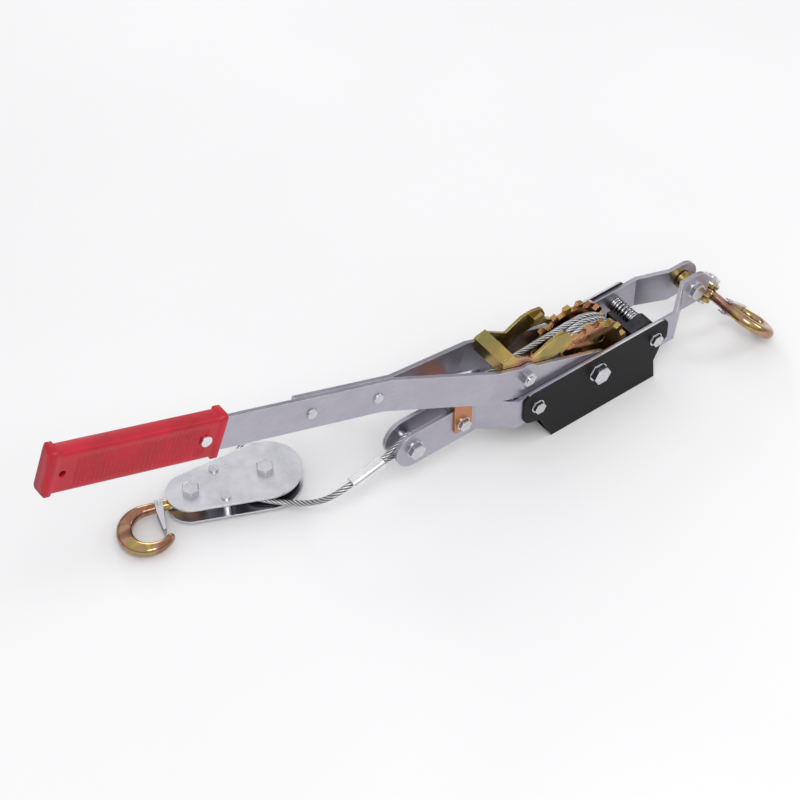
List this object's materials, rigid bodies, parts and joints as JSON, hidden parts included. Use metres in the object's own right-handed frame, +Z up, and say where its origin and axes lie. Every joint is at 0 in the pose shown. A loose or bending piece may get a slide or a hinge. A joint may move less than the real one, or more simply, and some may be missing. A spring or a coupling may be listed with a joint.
{
  "type": "come along winch",
  "caption": "Hand lever cable puller: ratchet drum in a strap frame, long gripped lever, wire cable through a pulley block, and a latched hook at each end.",
  "frame": {"origin": "on the ground face of the drum guard, straight under the drum axle", "axes": "+X from the grip towards the rear hook, +Z up, -Y the near side with the bolt heads"},
  "size_m": [0.6639, 0.1949, 0.2458],
  "materials": {
    "strap_zinc": "satin zinc plate",
    "guard_black": "semi-gloss black paint",
    "yellow_chromate": "yellow chromate zinc",
    "dark_steel": "dark phosphate",
    "rope_steel": "galvanised strands",
    "ferrule_aluminium": "crimped, bright",
    "grip_red": "moulded, ribbed",
    "plate_zinc": "bright zinc plate",
    "sheave_black": "black oxide",
    "bright_zinc": "bright zinc fasteners"
  },
  "bodies": {
    "frame": {"near_side_strap": "strap_zinc", "far_side_strap": "strap_zinc", "drum_guard": "guard_black", "drum_axle_bolt": "bright_zinc", "drum_axle_nut": "bright_zinc", "tie_bolt": "bright_zinc", "tie_bolt_nut": "bright_zinc", "tie_bolt_sleeve": "bright_zinc", "pawl_shaft": "bright_zinc", "pawl_shaft_nut": "bright_zinc", "pawl_shaft_sleeve": "bright_zinc", "holding_pawl_spring": "bright_zinc", "cable_guide_bracket": "yellow_chromate", "guide_bolt": "bright_zinc", "guide_nut": "bright_zinc", "anchor_bolt": "bright_zinc", "anchor_nut": "bright_zinc", "anchor_spool": "bright_zinc", "clevis_bolt": "bright_zinc", "clevis_nut": "bright_zinc", "cable_eye": "rope_steel", "cable_ferrule": "ferrule_aluminium", "free_cable": "rope_steel", "block_bottom_plate": "plate_zinc", "block_top_plate": "plate_zinc", "sheave_bolt": "bright_zinc", "front_hook_bolt": "bright_zinc", "block_rivets": "bright_zinc", "block_spacers": "bright_zinc"},
    "drum": {"near_ratchet_wheel": "yellow_chromate", "far_ratchet_wheel": "yellow_chromate", "drum_barrel": "yellow_chromate", "wound_cable": "rope_steel"},
    "lever": {"lever_long_strap": "strap_zinc", "lever_short_strap": "strap_zinc", "lever_rivets": "bright_zinc", "lever_grip": "grip_red", "lever_grip_pin": "bright_zinc", "lever_bushes": "bright_zinc", "drive_pawl_pivots": "bright_zinc", "drive_pawl_nuts": "bright_zinc"},
    "drive_pawl": {"drive_pawl_yoke": "yellow_chromate", "drive_pawl_teeth": "yellow_chromate", "drive_pawl_rivets": "yellow_chromate"},
    "holding_pawl": {"holding_pawl": "dark_steel"},
    "sheave": {"cable_sheave": "sheave_black"},
    "front_hook": {"front_hook": "yellow_chromate", "front_latch_pin": "bright_zinc"},
    "front_latch": {"front_hook_latch": "plate_zinc"},
    "rear_link": {"rear_link": "yellow_chromate", "rear_link_bolt": "bright_zinc", "rear_link_nut": "bright_zinc"},
    "rear_hook": {"rear_hook": "yellow_chromate", "rear_latch_pin": "bright_zinc"},
    "rear_latch": {"rear_hook_latch": "plate_zinc"}
  },
  "joints": [
    {"name": "lever_swing", "type": "hinge", "parent": "frame", "child": "lever", "pos_m": [0, 0, 0.046], "axis": [0, 1, 0], "range_deg": [0, 100]},
    {"name": "drive_pawl_tilt", "type": "hinge", "parent": "lever", "child": "drive_pawl", "pos_m": [-0.07149, 0, 0.08035], "axis": [0, -1, 0], "range_deg": [-6, 25], "stiffness_Nm_per_rad": 0.6},
    {"name": "holding_pawl_tilt", "type": "hinge", "parent": "frame", "child": "holding_pawl", "pos_m": [0.062, 0, 0.046], "axis": [0, -1, 0], "range_deg": [-12, 20], "stiffness_Nm_per_rad": 0.6},
    {"name": "drum_turn", "type": "hinge", "parent": "frame", "child": "drum", "pos_m": [0, 0, 0.046], "axis": [0, 1, 0], "range_deg": [-1080, 1800]},
    {"name": "sheave_spin", "type": "hinge", "parent": "frame", "child": "sheave", "pos_m": [-0.263, 0.068, 0.01], "axis": [0, 0, 1], "continuous": true},
    {"name": "front_hook_swing", "type": "hinge", "parent": "frame", "child": "front_hook", "pos_m": [-0.323, 0.084, 0.01], "axis": [0, 0, 1], "range_deg": [-55, 55]},
    {"name": "front_latch_open", "type": "hinge", "parent": "front_hook", "child": "front_latch", "pos_m": [-0.34818, 0.09126, 0.00874], "axis": [0.0519, 0.0071, -0.9986], "range_deg": [0, 40], "stiffness_Nm_per_rad": 0.1},
    {"name": "rear_link_swing", "type": "hinge", "parent": "frame", "child": "rear_link", "pos_m": [0.121, 0, 0.054], "axis": [0, 1, 0], "range_deg": [-80, 30]},
    {"name": "rear_hook_swing", "type": "hinge", "parent": "rear_link", "child": "rear_hook", "pos_m": [0.14329, 0, 0.03393], "axis": [0.6691, 0, 0.7431], "range_deg": [-35, 150]},
    {"name": "rear_latch_open", "type": "hinge", "parent": "rear_hook", "child": "rear_latch", "pos_m": [0.14522, -0.02611, 0.03219], "axis": [-0.6691, 0, -0.7431], "range_deg": [0, 40], "stiffness_Nm_per_rad": 0.1}
  ]
}
